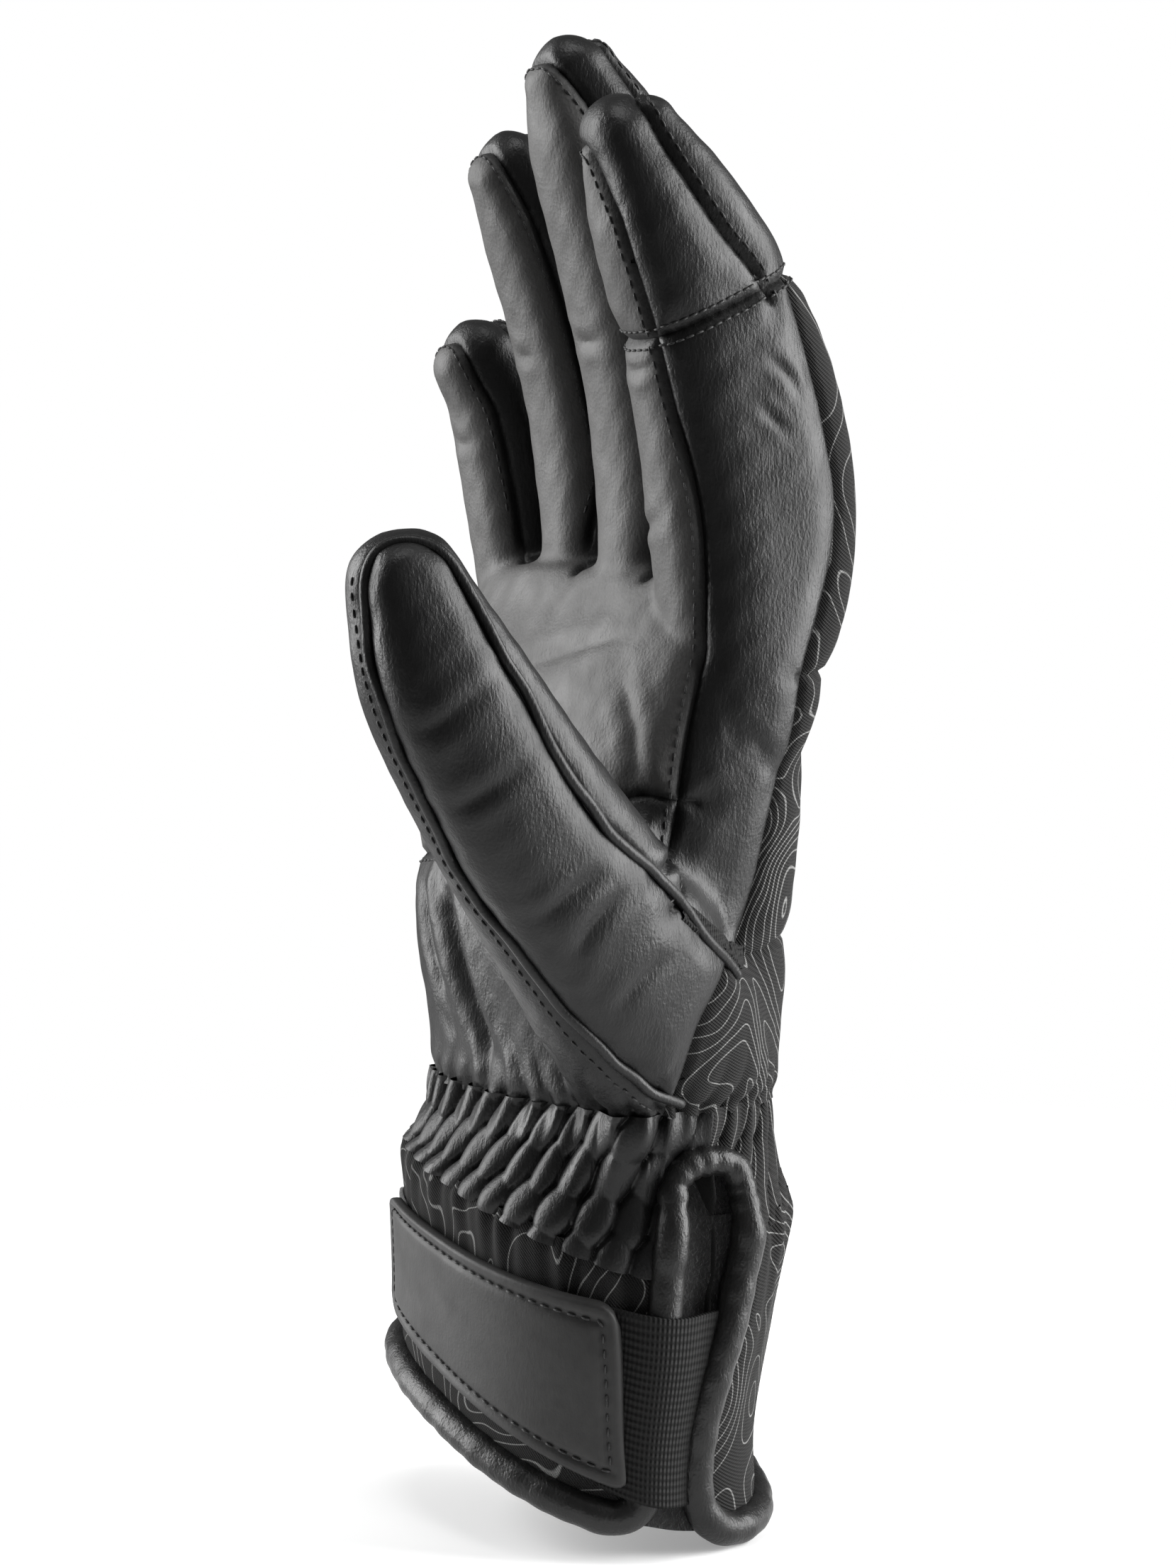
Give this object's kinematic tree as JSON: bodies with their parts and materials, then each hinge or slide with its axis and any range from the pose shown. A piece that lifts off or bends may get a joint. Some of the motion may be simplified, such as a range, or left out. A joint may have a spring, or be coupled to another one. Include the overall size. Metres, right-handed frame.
{
  "type": "ski glove",
  "caption": "Insulated leather ski glove for the right hand, with a padded knuckle panel, gathered wrist and a short cuff closed by a hook-and-loop strap.",
  "frame": {"origin": "centre of the cuff opening, at the hem", "axes": "+Z from the cuff to the fingertips, +X towards the thumb side, +Y out of the back of the hand, so the palm faces -Y"},
  "size_m": [0.1156, 0.1125, 0.2814],
  "materials": {
    "leather": "fine-grain black leather",
    "leather_light": "matt charcoal palm leather",
    "fabric": "charcoal twill with a printed contour pattern",
    "insulation": "polyester wadding",
    "lining": "brushed fleece",
    "elastic": "ribbed elastic webbing",
    "hook": "hook and loop tape"
  },
  "bodies": {
    "cuff": {"cuff_palm_flap": "fabric", "cuff_back_flap": "fabric", "cuff_lining": "lining", "hem_binding_palm": "leather", "hem_binding_back": "leather", "slit_binding": "leather", "slit_gusset": "elastic", "loop_patch": "hook", "wrist_elastic": "elastic", "wrist_sleeve": "leather"},
    "hand": {"palm_panel": "leather_light", "back_panel": "fabric", "little_side_panel": "leather", "index_side_panel": "leather", "palm_insulation": "insulation", "back_insulation": "insulation", "hand_lining": "lining", "knuckle_pad": "fabric", "thumb_root": "leather"},
    "index_base": {"index_base_palm": "leather_light", "index_base_back": "fabric", "index_base_fourchette_little_side": "leather", "index_base_fourchette_thumb_side": "leather"},
    "index_tip": {"index_tip_palm": "leather_light", "index_tip_back": "leather", "index_tip_fourchette": "leather"},
    "middle_base": {"middle_base_palm": "leather_light", "middle_base_back": "fabric", "middle_base_fourchette_little_side": "leather", "middle_base_fourchette_thumb_side": "leather"},
    "middle_tip": {"middle_tip_palm": "leather_light", "middle_tip_back": "leather", "middle_tip_fourchette": "leather"},
    "ring_base": {"ring_base_palm": "leather_light", "ring_base_back": "fabric", "ring_base_fourchette_little_side": "leather", "ring_base_fourchette_thumb_side": "leather"},
    "ring_tip": {"ring_tip_palm": "leather_light", "ring_tip_back": "leather", "ring_tip_fourchette": "leather"},
    "little_base": {"little_base_palm": "leather_light", "little_base_back": "fabric", "little_base_fourchette_little_side": "leather", "little_base_fourchette_thumb_side": "leather"},
    "little_tip": {"little_tip_palm": "leather_light", "little_tip_back": "leather", "little_tip_fourchette": "leather"},
    "thumb_base": {"thumb_base_inner": "leather_light", "thumb_base_outer": "leather"},
    "thumb_tip": {"thumb_tip_inner": "leather_light", "thumb_tip_outer": "leather"},
    "strap": {"strap_tab": "leather", "strap_elastic": "elastic", "hook_patch": "hook"}
  },
  "joints": [
    {"name": "wrist", "type": "hinge", "parent": "cuff", "child": "hand", "pos_m": [0, 0.002, 0.072], "axis": [1, 0, 0], "range_deg": [-30, 35], "deforming": ["wrist_sleeve", "wrist_elastic"]},
    {"name": "index_knuckle", "type": "hinge", "parent": "hand", "child": "index_base", "pos_m": [0.038, 0.00926, 0.18147], "axis": [1, 0, 0], "range_deg": [-12, 50]},
    {"name": "index_bend", "type": "hinge", "parent": "index_base", "child": "index_tip", "pos_m": [0.038, 0.00015, 0.21657], "axis": [1, 0, 0], "range_deg": [-10, 60]},
    {"name": "middle_knuckle", "type": "hinge", "parent": "hand", "child": "middle_base", "pos_m": [0.012, 0.00748, 0.18303], "axis": [1, 0, 0], "range_deg": [-12, 50]},
    {"name": "middle_bend", "type": "hinge", "parent": "middle_base", "child": "middle_tip", "pos_m": [0.012, 0.00113, 0.22305], "axis": [1, 0, 0], "range_deg": [-10, 60]},
    {"name": "ring_knuckle", "type": "hinge", "parent": "hand", "child": "ring_base", "pos_m": [-0.013, 0.00671, 0.17996], "axis": [1, 0.0001, -0.001], "range_deg": [-12, 50]},
    {"name": "ring_bend", "type": "hinge", "parent": "ring_base", "child": "ring_tip", "pos_m": [-0.0132, -0.00074, 0.21604], "axis": [0.9999, -0.0054, 0.0157], "range_deg": [-10, 60]},
    {"name": "little_knuckle", "type": "hinge", "parent": "hand", "child": "little_base", "pos_m": [-0.03705, 0.00718, 0.1731], "axis": [0.9999, -0.0012, 0.0156], "range_deg": [-12, 50]},
    {"name": "little_bend", "type": "hinge", "parent": "little_base", "child": "little_tip", "pos_m": [-0.03777, 0.0005, 0.19818], "axis": [0.9995, -0.0121, 0.028], "range_deg": [-10, 60]},
    {"name": "thumb_root", "type": "hinge", "parent": "hand", "child": "thumb_base", "pos_m": [0.04169, -0.02094, 0.10875], "axis": [0.9634, 0.1915, -0.1874], "range_deg": [-8, 20]},
    {"name": "thumb_bend", "type": "hinge", "parent": "thumb_base", "child": "thumb_tip", "pos_m": [0.05083, -0.0513, 0.14317], "axis": [0, -0.7665, -0.6423], "range_deg": [-10, 50]},
    {"name": "strap", "type": "hinge", "parent": "cuff", "child": "strap", "pos_m": [0.04742, -0.00425, 0.02], "axis": [0.0382, 0.0725, 0.9966], "range_deg": [0, 110]}
  ]
}
